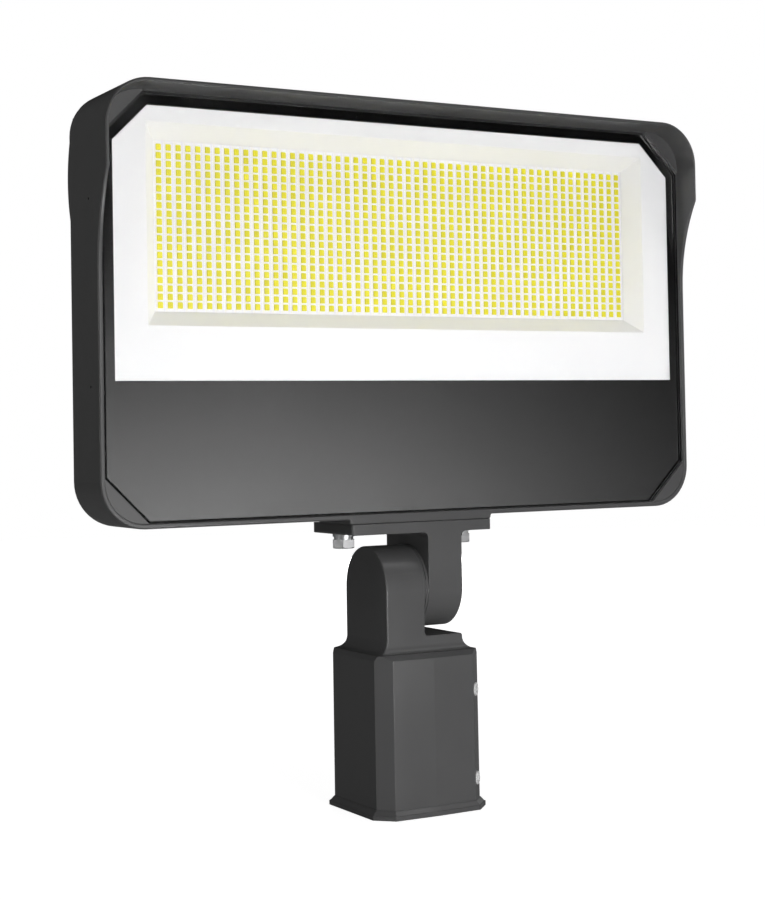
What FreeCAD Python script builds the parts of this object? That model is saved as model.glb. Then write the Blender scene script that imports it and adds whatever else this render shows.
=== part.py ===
"""LED flood light on a slipfitter: a sealed head that tilts on a toothed knuckle above a pole socket."""
import FreeCAD, Part
import math
import os

# Driving dimensions in millimetres. Front is -Y and up is +Z.
# The origin is the middle of the pole socket's mouth.

# Pole socket and sleeve
bore_r = 31.0              # takes a 60.3 mm tenon
bore_depth = 90.0
side_wall = 6.0            # sleeve wall left and right of the bore
front_wall = 4.25          # sleeve wall in front of the bore and behind it
sleeve_corner = 8.5        # leg of the sleeve's corner flats
face_crown = 0.9           # rise of the front and back faces towards their middle
sleeve_taper = 0.15        # each side leans in by this much over the sleeve's height
sleeve_h = 95.2            # top of the straight wall
shoulder_h = 2.9           # bevel above the straight wall
shoulder_side = 1.65       # that bevel's run on the left and right
shoulder_front = 4.4       # and on the front and back
neck_h = 9.7               # shoulder to deck
lip_h = 2.7                # upright band at the mouth
lip_bevel_h = 2.7
lip_step = 0.5             # small ledges above and below that bevel
lip_out = 3.35

# Set screws in the right-hand corner flats
set_screw_r = 4.2
set_screw_low_z = 18.2
set_screw_high_z = 73.0
set_screw_proud = 0.9
set_screw_socket = 4.0     # across the flats of the socket
set_screw_socket_depth = 3.0
bore_tip_clear = 0.4       # the point stays this far outside the bore
set_screw_edge = 0.45      # bevel round the outer end
set_screw_point = 1.7      # bevel round the inner end

# Knuckle joint
knuckle_r = 26.0
neck_hx = 27.0             # half the neck's width, and the lower half's left face
knuckle_w = 26.7           # lower half, on the left
arm_w = 24.5               # upper half, on the right
arm_clear = 3.2            # room under the arm's round end
neck_edge = 0.8            # round on the neck's corners
deck_bevel = 1.2           # flat at the deck's end
tooth_count = 24
tooth_h = 1.5
tooth_clear = 0.3          # crest to crest, with the pivot bolt backed off
tooth_fill = 0.9           # share of the pitch that a tooth's foot takes
ring_h = 0.2               # raised ring that carries the teeth
ring_margin = 0.4          # ring edge to knuckle edge, and to the teeth's inner ends
ring_lip = 1.2             # plain lip round the teeth, as high as their crests
ring_inner_r = 13.0
inner_cove = 3.6           # hollow corner between arm and flange, knuckle side
outer_cove = 3.0
deck_cove = 2.0

# Flange of the arm, and the pad under the housing
plate_rise = 34.4          # pivot to the flange's underside
plate_t = 6.6
plate_half = 49.7
plate_round = 1.5
pad_h = 3.0
pad_margin = 0.8           # pad edge outside the flange edge
pad_round = 1.4
pad_back = 2.0             # pad's end in front of the rounded back edge

# Bolts: shank radius, head across flats, head height
pivot_shank_r = 6.0
pivot_head = 19.0
pivot_head_h = 7.5
pivot_grip = 20.0          # thread in the lower knuckle
pivot_seat_depth = 6.0     # sunk seat of its washers in the arm's right face
pivot_seat_r = 14.0        # room for a socket spanner
pivot_run_clear = 0.05     # shank to arm, a running fit
flange_shank_r = 4.0
flange_head = 13.0
flange_head_h = 5.3
flange_bolt_len = 25.0
flange_bolt_edge = 7.7     # middle of each bolt to the flange's end
washer_t = 1.6
lock_washer_t = 2.0
pivot_washer_t = 2.5
pivot_lock_washer_t = 3.0
washer_ratio = 1.7         # washer's outer radius over the shank's
lock_ratio = 1.5
lock_slit = 1.4
head_flat = 0.94           # round flat on a bolt head, in across-flats
head_bevel = 0.3           # bevelled share of the head's height
head_flare = 1.24          # bevel's widest, in across-flats
hole_clear = 0.4           # plain hole to shank
thread_clear = 0.05        # tapped hole to shank
face_clear = 0.3           # washer to turning arm

# Light engine
led_columns = 54
led_rows = 20
led_pitch_x = 6.24
led_pitch_z = 4.858
led_w = 3.1
led_h = 3.7
led_t = 0.7
board_t = 1.6
board_edge_x = 8.0         # board beyond the well's foot
board_edge_z = 10.0
board_corner = 3.0
thermal_pad_t = 0.5
thermal_inset = 1.0
well_margin = 2.0          # emitters to the foot of the well
well_run = 8.8             # slope of the well, seen from the front
well_depth = 11.2
well_gap = 0.3             # foot of the well above the board
reflector_t = 1.2
reflector_clear = 0.6      # reflector edge to cavity wall
flange_side = 20.6         # white band left and right of the well
flange_top = 9.75
flange_bottom = 31.8

# Glass
glass_t = 4.0
glass_leg = 26.0           # corner flats of the pane
glass_gap = 0.9            # open joint round the pane
glass_gap_top = 1.7
glass_recess = 0.8         # pane behind the rim
glass_edge = 0.4           # ground edge
print_t = 0.15             # black enamel on the back of the pane
print_skin = 0.03          # pane to enamel
print_inset = 0.3
print_gap = 0.35           # reflector behind the enamel
border_side = 7.0          # enamel beside the clear window
border_top = 5.95
window_leg = 21.7          # upper corner flats of the window
seal_t = 0.65
seal_inset = 0.5           # from the ledge's inner edge
seal_clear = 0.3           # from the pocket's wall; the seal shows in the open joint
ledge_w = 5.8              # pane on its ledge

# Housing casting
rim_front = 25.2           # pivot axis to the rim's front
rim_wall = 2.9
top_wall = 5.9             # above the fins
hood_wall = 4.0            # above the pane
lip_wall = 2.2             # visor's front edge, at the top
lip_side = 1.9             # and down its sides
housing_corner_r = 27.0
back_wall = 3.0
floor_t = 5.0              # plate behind the light board
front_round = 1.1          # outer edge of rim and visor
inner_round = 0.5
back_round = 2.0
visor_reach = 15.8
visor_drop = 50.9          # full-depth part of the visor, down each side
visor_sweep = 57.3         # curve that runs back to the rim
visor_corner_r = 2.0
shelf_h = 15.4             # plate below the window, with the reflector's posts
fin_t = 2.2
fin_pitch = 14.5
fin_edge_gap = 2.0         # outermost fin to side wall
fin_rise = 16.0            # top of the arched fins behind the back wall
fin_peak_drop = 51.2       # top of the housing to the fins' peak
post_r = 4.0               # posts under the reflector's lower edge
support_post_r = 3.0       # posts under its upper edge
boss_wall = 4.5            # metal round and above a blind bolt hole
ear_boss_wall = 3.0        # metal round a driver screw
tip_clear = 0.6            # below a blind hole's end
wall_hole_r = 0.8          # two small holes in each side wall
wall_hole_depth = 1.5
wall_hole_behind_rim = 13.4
wall_hole_drops = (66.7, 173.9)   # below the top of the housing

# Driver and wiring
driver_room_left = 59.5    # cavity wall to the driver's left end
driver_room_right = 109.5  # room for the terminal block and the gland
driver_h = 46.0
driver_t = 31.0
driver_round = 4.0
driver_below = 2.1         # room above the bolt bosses
driver_above = 4.0
driver_front = 6.65        # room behind the pane
cap_t = 6.0
ear_len = 12.0
ear_w = 14.0
ear_t = 3.0
ear_boss_h = 6.0
ear_drop = 12.0            # below the driver's middle
lead_r = 1.2
lead_pitch = 5.0
block_w = 26.0
block_h = 24.0
block_t = 14.0
block_gap = 6.0            # driver's ear to terminal block
block_well_r = 1.9         # screw wells in the block's face
block_wells = (0.3, 0.7)   # their places along the block, in block widths
connector_w = 14.0
connector_h = 4.0
connector_t = 2.2
lead_out = 14.0            # driver's end cap to the middle of the connector
lead_stand = 3.2           # lead's middle in front of the plate
lead_bend = 6.0
lead_climb = 20.25         # from the driver's middle up to the opening behind the plate

# Small screws: shank radius, head radius, head height
small_shank_r = 1.5
small_head_r = 2.75
small_head_h = 2.0
small_thread = 3.6
flat_head_r = 2.4
flat_shank_r = 1.25
flat_thread = 7.0
ear_shank_r = 2.0
ear_head_r = 3.6
ear_head_h = 2.6
board_screw_xs = (-150.0, -50.0, 50.0, 150.0)
reflector_post_xs = (-130.0, 0.0, 130.0)
pan_top = 0.55             # flat top of a pan head, in head radii
pan_edge = 0.9             # its shoulder, in head radii
pan_edge_h = 0.65          # shoulder's height, in head heights

# Cable gland and breather in the back wall
gland_in = 31.5            # cavity wall to the gland's middle
gland_thread_r = 8.0
gland_bore_r = 5.0         # wider inner half of that hole
gland_hex = 22.0
gland_hex_h = 6.0
gland_neck_h = 7.0
gland_locknut_h = 4.0
gland_nut_h = 15.0
gland_nut_wall = 2.0       # nut over the seal
gland_lead_r = 4.5         # hole for the lead
gland_seal_h = 8.0
nut_hex_h = 9.0            # six-sided part of the dome nut
nut_shoulder_h = 13.5
nut_shoulder_r = 8.8
nut_end_r = 7.5
vent_in = 23.5
vent_cap_r = 8.0
vent_cap_h = 4.5
vent_stem_r = 5.0
vent_stem_in = 4.0
vent_edge_h = 3.15         # upright edge of the cap
vent_top_r = 6.8

cut_over = 12.0            # blocks that cut pass the metal by this much
match_tol = 0.001          # places nearer than this are the same

# Places worked out from the sizes above

sleeve_hx = bore_r + side_wall
sleeve_hy = bore_r + front_wall
shoulder_z = sleeve_h + shoulder_h
deck_z = shoulder_z + neck_h
pivot_z = deck_z + arm_clear + knuckle_r
knuckle_left = -neck_hx
knuckle_face = knuckle_left + knuckle_w
arm_face = knuckle_face + 2.0 * (ring_h + tooth_h) + tooth_clear
arm_right = arm_face + arm_w
pivot_seat_x = arm_right - pivot_seat_depth
ring_r = knuckle_r - ring_margin

plate_z = pivot_z + plate_rise
plate_top = plate_z + plate_t
housing_z0 = plate_top + pad_h
flange_bolt_half = plate_half - flange_bolt_edge

rim_y = -rim_front
glass_y = rim_y + glass_recess
print_y = glass_y + glass_t
seal_y = print_y + print_skin + print_t
ledge_y = seal_y + seal_t
flange_y = seal_y + print_gap
well_foot_y = flange_y + well_depth
board_y = well_foot_y + well_gap
pad_front_y = board_y + board_t
floor_y = pad_front_y + thermal_pad_t
floor_back_y = floor_y + floor_t
bay_floor_y = seal_y + driver_front + driver_t
back_y = bay_floor_y + back_wall
visor_y = rim_y - visor_reach

array_hx = (led_columns - 1) * led_pitch_x / 2.0 + led_w / 2.0
array_hz = (led_rows - 1) * led_pitch_z / 2.0 + led_h / 2.0
well_hx = array_hx + well_margin
well_hz = array_hz + well_margin
mouth_hx = well_hx + well_run
mouth_hz = well_hz + well_run
window_hx = mouth_hx + flange_side
glass_hx = window_hx + border_side
pocket_hx = glass_hx + glass_gap
housing_hx = pocket_hx + rim_wall
cavity_hx = glass_hx - ledge_w

pocket_z0 = housing_z0 + rim_wall
glass_z0 = pocket_z0 + glass_gap
cavity_z0 = glass_z0 + ledge_w
bolt_head_z = plate_z - washer_t - lock_washer_t
bolt_tip_z = bolt_head_z + flange_bolt_len
boss_top = bolt_tip_z + tip_clear + boss_wall
driver_z0 = boss_top + driver_below
driver_mid_z = driver_z0 + driver_h / 2.0
bay_top = driver_z0 + driver_h + driver_above
window_z0 = bay_top + shelf_h
array_z = window_z0 + flange_bottom + mouth_hz
window_z1 = array_z + mouth_hz + flange_top
glass_z1 = window_z1 + border_top
pocket_z1 = glass_z1 + glass_gap_top
housing_z1 = pocket_z1 + hood_wall
cavity_z1 = glass_z1 - ledge_w

corner_growth = 2.0 - math.sqrt(2.0)      # change of a corner flat's leg per millimetre of offset
pocket_leg = glass_leg + glass_gap * corner_growth
cavity_leg = glass_leg - ledge_w * corner_growth
fin_z0 = bay_top + back_wall
reflector_z0 = bay_top + reflector_clear
reflector_post_z = (reflector_z0 + window_z0) / 2.0
board_z0 = array_z - well_hz - board_edge_z
board_z1 = array_z + well_hz + board_edge_z
support_post_z = (board_z1 + cavity_z1) / 2.0
driver_left = cavity_hx - driver_room_left
driver_right = cavity_hx - driver_room_right
block_x0 = driver_right + cap_t + ear_len + block_gap
connector_x = -driver_left - cap_t - lead_out
gland_x = cavity_hx - gland_in
vent_x = vent_in - cavity_hx

UP = FreeCAD.Vector(0, 0, 1)
RIGHT = FreeCAD.Vector(1, 0, 0)
BACK = FreeCAD.Vector(0, 1, 0)


# Building blocks

def vec(x, y, z):
    return FreeCAD.Vector(x, y, z)


def polygon_face(points):
    return Part.Face(Part.makePolygon(points + points[:1]))


def aim(shape, base, axis):
    """Puts a shape made along +Z at a point, along an axis."""
    shape.Placement = FreeCAD.Placement(base, FreeCAD.Rotation(UP, axis))
    return shape


def rod(r, length, base, axis):
    return Part.makeCylinder(r, length, base, axis)


def tube_ring(r_out, r_in, length, base, axis):
    return rod(r_out, length, base, axis).cut(rod(r_in, length, base, axis))


def hexagon(flats, height, base, axis):
    corner = flats / math.sqrt(3.0)
    turns = [k * math.pi / 3 for k in range(6)]
    points = [vec(corner * math.cos(turn), corner * math.sin(turn), 0) for turn in turns]
    return aim(polygon_face(points).extrude(vec(0, 0, height)), base, axis)


def turned(profile, base, axis):
    """Turns a profile of (radius, height) points round +Z, then aims it."""
    face = polygon_face([vec(r, 0, z) for r, z in profile])
    return aim(face.revolve(vec(0, 0, 0), UP, 360), base, axis)


def slab(half_x, z0, z1, y0, y1):
    return Part.makeBox(2 * half_x, y1 - y0, z1 - z0, vec(-half_x, y0, z0))


def round_rect_wire(half_x, z0, z1, r, y):
    """Upright rectangle with round corners, in the plane at depth y."""
    k = r * (1 - math.sqrt(0.5))
    a, b = half_x, half_x - r
    line = Part.LineSegment
    edges = [
        line(vec(-b, y, z0), vec(b, y, z0)),
        Part.Arc(vec(b, y, z0), vec(a - k, y, z0 + k), vec(a, y, z0 + r)),
        line(vec(a, y, z0 + r), vec(a, y, z1 - r)),
        Part.Arc(vec(a, y, z1 - r), vec(a - k, y, z1 - k), vec(b, y, z1)),
        line(vec(b, y, z1), vec(-b, y, z1)),
        Part.Arc(vec(-b, y, z1), vec(-a + k, y, z1 - k), vec(-a, y, z1 - r)),
        line(vec(-a, y, z1 - r), vec(-a, y, z0 + r)),
        Part.Arc(vec(-a, y, z0 + r), vec(-a + k, y, z0 + k), vec(-b, y, z0)),
    ]
    return Part.Wire([edge.toShape() for edge in edges])


def round_slab(half_x, z0, z1, r, y0, y1):
    return Part.Face(round_rect_wire(half_x, z0, z1, r, y0)).extrude(vec(0, y1 - y0, 0))


def corner_cut_points(half_x, z0, z1, leg_low, leg_high, y):
    """Upright rectangle with flat corners: legs of the lower and of the upper corner flats."""
    right = [(half_x - leg_low, z0), (half_x, z0 + leg_low), (half_x, z1 - leg_high), (half_x - leg_high, z1)]
    left = [(-x, z) for x, z in reversed(right)]
    points = []
    for x, z in right + left:
        point = vec(x, y, z)
        if not points or point.distanceToPoint(points[-1]) > match_tol:
            points.append(point)
    return points


def corner_cut_slab(half_x, z0, z1, leg_low, leg_high, y0, y1):
    face = polygon_face(corner_cut_points(half_x, z0, z1, leg_low, leg_high, y0))
    return face.extrude(vec(0, y1 - y0, 0))


def cove(corner_x, corner_z, side, r, half_y):
    """Hollow corner under a level face, on the side (+1 or -1) of an upright face."""
    a = vec(corner_x, -half_y, corner_z)
    b = vec(corner_x + side * r, -half_y, corner_z)
    c = vec(corner_x, -half_y, corner_z - r)
    inset = r * (1 - math.sqrt(0.5))
    middle = vec(corner_x + side * inset, -half_y, corner_z - inset)
    wire = Part.Wire([
        Part.LineSegment(c, a).toShape(), Part.LineSegment(a, b).toShape(), Part.Arc(b, middle, c).toShape()])
    return Part.Face(wire).extrude(vec(0, 2 * half_y, 0))


def bent_tube(points, bend, r):
    """Round lead along straight runs joined by arcs."""
    edges = []
    start = points[0]
    for before, corner, after in zip(points, points[1:], points[2:]):
        into = (corner - before).normalize()
        out = (after - corner).normalize()
        half_turn = into.getAngle(out) / 2.0
        cut = bend * math.tan(half_turn)
        inward = (out - into).normalize()
        a = corner - into * cut
        b = corner + out * cut
        middle = corner + inward * (bend / math.cos(half_turn) - bend)
        edges += [Part.LineSegment(start, a).toShape(), Part.Arc(a, middle, b).toShape()]
        start = b
    edges.append(Part.LineSegment(start, points[-1]).toShape())
    section = Part.Wire(Part.makeCircle(r, points[0], points[1] - points[0]))
    return Part.Wire(edges).makePipeShell([section], True, False)


def on_both_sides(make, x):
    return [make(-x), make(x)]


def save(name, solids):
    """Writes one sub-part, a single solid or a group of equal ones."""
    group = solids if isinstance(solids, list) else [solids]
    shape = group[0] if len(group) == 1 else Part.makeCompound(group)
    shape.exportStep("parts/" + name + ".step")


# Slipfitter

def sleeve_wire(half_x, half_y, corner, crown, z):
    quarter = [(half_x - corner, -half_y), (half_x, -half_y + corner)]
    right = quarter + [(x, -y) for x, y in reversed(quarter)]
    left = [(-x, y) for x, y in reversed(right)]
    outline = [(0, -half_y - crown)] + right + [(0, half_y + crown)] + left
    points = [vec(x, y, z) for x, y in outline]
    return Part.makePolygon(points + points[:1])


def sleeve_outside():
    """Flared mouth, straight wall, shoulder and neck, one above the other."""
    def offset(out):
        return sleeve_hx + out, sleeve_hy + out, sleeve_corner + out * corner_growth, face_crown

    head_hx, head_hy = sleeve_hx - sleeve_taper, sleeve_hy - sleeve_taper
    head = (head_hx, head_hy, sleeve_corner, face_crown)
    shoulder_hx, shoulder_hy = head_hx - shoulder_side, head_hy - shoulder_front
    shoulder_corner = sleeve_corner - shoulder_side - shoulder_front
    shoulder = (shoulder_hx, shoulder_hy, shoulder_corner, face_crown)
    foot_z = lip_h + lip_bevel_h
    stages = [(offset(lip_out), 0.0, offset(lip_out), lip_h),
              (offset(lip_out - lip_step), lip_h, offset(lip_step), foot_z),
              (offset(0.0), foot_z, head, sleeve_h), (head, sleeve_h, shoulder, shoulder_z)]
    lofts = [Part.makeLoft([sleeve_wire(*low, z0), sleeve_wire(*high, z1)], True, True)
             for low, z0, high, z1 in stages]
    flats = Part.Face(sleeve_wire(*head, sleeve_h)).extrude(UP * (deck_z - sleeve_h))
    neck = footed_block(neck_hx, shoulder_hx - neck_hx)
    cross = footed_block(knuckle_r, shoulder_hy - knuckle_r)
    cross.rotate(vec(0, 0, 0), UP, 90)
    neck = neck.common(cross).common(flats)
    deck_end = [edge for edge in edges_in_plane(neck, 2, deck_z) if same(edge.CenterOfMass.x, neck_hx)]
    neck = neck.makeChamfer(deck_bevel, deck_end)
    corners = [edge for edge in edges_in_plane(neck, 1, -knuckle_r) + edges_in_plane(neck, 1, knuckle_r)
               if same(abs(edge.CenterOfMass.x), neck_hx)]
    neck = neck.makeFillet(neck_edge, corners)
    return lofts[0].fuse(lofts[1:] + [neck])


def footed_block(half_w, foot_r):
    """Upright block along Y, from inside the shoulder to the deck, with hollow corners at its foot."""
    reach = sleeve_hx + sleeve_hy
    block = Part.makeBox(2 * half_w, 2 * reach, deck_z - sleeve_h, vec(-half_w, -reach, sleeve_h))
    feet = [cove(side * half_w, -shoulder_z, side, foot_r, reach).mirror(vec(0, 0, 0), UP)
            for side in (-1.0, 1.0)]
    return block.fuse(feet)


def knuckle_plate(x0, x1, end_z, rise):
    """Flat-sided half of the knuckle: round about the pivot, straight to end_z."""
    r = knuckle_r
    tip = vec(x0, 0, pivot_z + rise * r)
    left, right = vec(x0, -r, pivot_z), vec(x0, r, pivot_z)
    foot_left, foot_right = vec(x0, -r, end_z), vec(x0, r, end_z)
    wire = Part.Wire([
        Part.LineSegment(foot_left, left).toShape(), Part.Arc(left, tip, right).toShape(),
        Part.LineSegment(right, foot_right).toShape(), Part.LineSegment(foot_right, foot_left).toShape()])
    return Part.Face(wire).extrude(vec(x1 - x0, 0, 0))


def same(a, b):
    return abs(a - b) < match_tol


def edges_in_plane(shape, axis, value, skip_z=None):
    """Edges that lie in a plane square to X, Y or Z (0, 1, 2), leaving out those at one height."""
    found = []
    for edge in shape.Edges:
        box = edge.BoundBox
        low = (box.XMin, box.YMin, box.ZMin)[axis]
        high = (box.XMax, box.YMax, box.ZMax)[axis]
        level = skip_z is not None and same(box.ZMin, skip_z) and same(box.ZMax, skip_z)
        if same(low, value) and same(high, value) and not level:
            found.append(edge)
    return found


def tooth_ring(face_x, side):
    """Ring of radial teeth inside a plain lip on a knuckle face, rising towards side (+1 or -1) along X."""
    ring = tube_ring(ring_r, ring_inner_r, ring_h, vec(face_x, 0, pivot_z), vec(side, 0, 0))
    lip_r = ring_r - ring_lip
    lip = tube_ring(ring_r, lip_r, ring_h + tooth_h, vec(face_x, 0, pivot_z), vec(side, 0, 0))
    foot_x = face_x + side * ring_h / 2.0
    crest_x = face_x + side * (ring_h + tooth_h)
    half_pitch = math.pi / tooth_count
    teeth = []
    for k in range(tooth_count):
        turn = (k + 0.5) * 2.0 * half_pitch
        out = vec(0, math.cos(turn), math.sin(turn))
        along = vec(0, -math.sin(turn), math.cos(turn))
        ends = []
        for r in (ring_inner_r + ring_margin, lip_r + ring_lip / 2.0):
            half_foot = r * math.tan(half_pitch) * tooth_fill
            foot = vec(foot_x, 0, pivot_z) + out * r
            crest = vec(crest_x, 0, pivot_z) + out * r
            corners = [foot - along * half_foot, foot + along * half_foot, crest]
            ends.append(Part.makePolygon(corners + corners[:1]))
        teeth.append(Part.makeLoft(ends, True, True))
    return ring.fuse([lip] + teeth)


def set_screw_places():
    """Point on the corner flat and outward direction of each set screw."""
    reach = (sleeve_hx + sleeve_hy - sleeve_corner) / math.sqrt(2.0)
    for front in (-1.0, 1.0):
        out = vec(math.sqrt(0.5), front * math.sqrt(0.5), 0)
        # the flats lie square to this direction, off the diagonal by half the difference of the sleeve's sides
        slip = vec(math.sqrt(0.5), -front * math.sqrt(0.5), 0) * ((sleeve_hx - sleeve_hy) / math.sqrt(2.0))
        for z in (set_screw_low_z, set_screw_high_z):
            yield out * reach + slip + vec(0, 0, z), out


def make_slipfitter():
    knuckle = knuckle_plate(knuckle_left, knuckle_face, deck_z - deck_bevel, 1.0)
    knuckle = knuckle.makeFillet(neck_edge, edges_in_plane(knuckle, 0, knuckle_left, deck_z - deck_bevel))
    body = sleeve_outside().fuse(knuckle)
    deck_corner = cove(knuckle_face, -deck_z, 1.0, deck_cove, knuckle_r)
    deck_corner = deck_corner.mirror(vec(0, 0, 0), UP)
    body = body.fuse([deck_corner, tooth_ring(knuckle_face, 1.0)])
    holes = [rod(bore_r, bore_depth + lip_h, vec(0, 0, -lip_h), UP)]
    holes.append(rod(pivot_shank_r + thread_clear, pivot_grip + tip_clear + arm_w,
                     vec(knuckle_face - pivot_grip - tip_clear, 0, pivot_z), RIGHT))
    for point, out in set_screw_places():
        holes.append(rod(set_screw_r + thread_clear, bore_r + cut_over, point - out * bore_r, out))
    return body.cut(holes).removeSplitter()


def make_set_screws():
    screws = []
    for point, out in set_screw_places():
        length = point.dot(out) - bore_r - bore_tip_clear
        base = point - out * length
        end = length + set_screw_proud
        screw = turned([(0, 0), (set_screw_r - set_screw_point, 0), (set_screw_r, set_screw_point),
                        (set_screw_r, end - set_screw_edge), (set_screw_r - set_screw_edge, end),
                        (0, end)], base, out)
        socket_end = base + out * (end - set_screw_socket_depth)
        socket = hexagon(set_screw_socket, set_screw_socket_depth + cut_over, socket_end, out)
        screws.append(screw.cut(socket))
    return screws


def make_bolt(shank_r, length, flats, head_h, under_head, axis):
    """Hex bolt: its head's bearing face is at under_head, the shank runs along the axis."""
    shank = rod(shank_r, length, under_head, axis)
    head = hexagon(flats, head_h, under_head - axis * head_h, axis)
    flat_r, flare_r = flats * head_flat / 2.0, flats * head_flare / 2.0
    crown = turned([(0, 0), (flat_r, 0), (flare_r, head_h * head_bevel), (flare_r, head_h), (0, head_h)],
                   under_head - axis * head_h, axis)
    return head.common(crown).fuse(shank)


def make_washer(shank_r, over, thickness, base, axis):
    return tube_ring(shank_r * over, shank_r + hole_clear, thickness, base, axis)


def make_lock_washer(shank_r, thickness, base, axis):
    ring = make_washer(shank_r, lock_ratio, thickness, vec(0, 0, 0), UP)
    slit = Part.makeBox(shank_r * lock_ratio, lock_slit, thickness, vec(0, -lock_slit / 2.0, 0))
    return aim(ring.cut(slit), base, axis)


def make_pivot_hardware():
    """Bolt, flat washer and lock washer of the pivot, in the seat on the arm's right face."""
    left = vec(-1, 0, 0)
    seat = pivot_seat_x + face_clear
    lock = seat + pivot_washer_t
    head = lock + pivot_lock_washer_t
    length = head - (knuckle_face - pivot_grip)
    bolt = make_bolt(pivot_shank_r, length, pivot_head, pivot_head_h, vec(head, 0, pivot_z), left)
    washer = make_washer(pivot_shank_r, washer_ratio, pivot_washer_t, vec(seat, 0, pivot_z), RIGHT)
    lock_washer = make_lock_washer(pivot_shank_r, pivot_lock_washer_t, vec(lock, 0, pivot_z), RIGHT)
    return bolt, washer, lock_washer


# Arm that carries the head

def make_arm():
    arm = knuckle_plate(arm_face, arm_right, plate_top - plate_t / 2.0, -1.0)
    arm = arm.makeFillet(neck_edge, edges_in_plane(arm, 0, arm_right, plate_top - plate_t / 2.0))
    plate = Part.makeBox(2 * plate_half, 2 * knuckle_r, plate_t, vec(-plate_half, -knuckle_r, plate_z))
    ends = [edge for x in (-plate_half, plate_half) for edge in edges_in_plane(plate, 0, x, plate_top)]
    plate = plate.makeFillet(plate_round, ends)
    coves = [cove(arm_face, plate_z, -1.0, inner_cove, knuckle_r),
             cove(arm_right, plate_z, 1.0, outer_cove, knuckle_r)]
    body = plate.fuse([arm, tooth_ring(arm_face, -1.0)] + coves)
    pivot = vec(knuckle_face, 0, pivot_z)
    holes = [rod(pivot_shank_r + pivot_run_clear, arm_right - knuckle_face, pivot, RIGHT),
             rod(pivot_seat_r, pivot_seat_depth, vec(pivot_seat_x, 0, pivot_z), RIGHT)]
    bolt_hole_r = flange_shank_r + hole_clear
    holes += on_both_sides(lambda x: rod(bolt_hole_r, plate_t, vec(x, 0, plate_z), UP), flange_bolt_half)
    return body.cut(holes).removeSplitter()


def make_flange_hardware():
    """Bolts, flat washers and lock washers under the arm's flange."""
    bolts = on_both_sides(lambda x: make_bolt(flange_shank_r, flange_bolt_len, flange_head, flange_head_h,
                                              vec(x, 0, bolt_head_z), UP), flange_bolt_half)
    locks = on_both_sides(lambda x: make_lock_washer(flange_shank_r, lock_washer_t,
                                                     vec(x, 0, bolt_head_z), UP), flange_bolt_half)
    washers = on_both_sides(lambda x: make_washer(flange_shank_r, washer_ratio, washer_t,
                                                  vec(x, 0, plate_z - washer_t), UP), flange_bolt_half)
    return bolts, washers, locks


# Housing

def visor_trim():
    """Everything in front of the rim, the sweep and the visor's edge, seen from the side."""
    far_y = visor_y - cut_over
    low_z = plate_top - cut_over
    high_z = housing_z1 + cut_over
    corner_z = housing_z1 - visor_drop
    start_z = corner_z - visor_sweep
    sweep_r = (visor_sweep ** 2 + visor_reach ** 2) / (2.0 * visor_reach)
    half_angle = math.asin(visor_sweep / sweep_r) / 2.0
    x = -housing_hx - cut_over
    middle = vec(x, rim_y - sweep_r * (1 - math.cos(half_angle)), start_z + sweep_r * math.sin(half_angle))
    rim_low, rim_high = vec(x, rim_y, low_z), vec(x, rim_y, start_z)
    corner, edge_high = vec(x, visor_y, corner_z), vec(x, visor_y, high_z)
    far_high, far_low = vec(x, far_y, high_z), vec(x, far_y, low_z)
    line = Part.LineSegment
    wire = Part.Wire([
        line(rim_low, rim_high).toShape(), Part.Arc(rim_high, middle, corner).toShape(),
        line(corner, edge_high).toShape(), line(edge_high, far_high).toShape(),
        line(far_high, far_low).toShape(), line(far_low, rim_low).toShape()])
    block = Part.Face(wire).extrude(vec(-2.0 * x, 0, 0))
    bend = [edge for edge in block.Edges
            if same(edge.CenterOfMass.y, visor_y) and same(edge.CenterOfMass.z, corner_z)
            and edge.Length > 2.0 * housing_hx]
    return block.makeFillet(visor_corner_r, bend)


def front_recess():
    """Hollow inside the rim and the visor, down to the pane's front."""
    far_y = visor_y - cut_over
    reach = (glass_y - far_y) / (glass_y - visor_y)
    far_hx = pocket_hx + reach * (rim_wall - lip_side)
    far_top = pocket_z1 + reach * (hood_wall - lip_wall)
    inner_r = housing_corner_r - rim_wall
    near = round_rect_wire(pocket_hx, pocket_z0, pocket_z1, inner_r, glass_y)
    far = round_rect_wire(far_hx, pocket_z0, far_top, inner_r, far_y)
    return Part.makeLoft([near, far], True, True)


def is_front_face(face):
    u0, u1, v0, v1 = face.ParameterRange
    normal = face.normalAt((u0 + u1) / 2.0, (v0 + v1) / 2.0)
    return same(normal.x, 0) and normal.y < -0.5 and face.CenterOfMass.y < rim_y + match_tol


def front_edges(shell):
    """Edges round the front faces of the rim and the visor, but not those between two of them."""
    edges = [edge for face in shell.Faces if is_front_face(face) for edge in face.Edges]
    return [edge for edge in edges if sum(edge.isSame(other) for other in edges) == 1]


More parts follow.
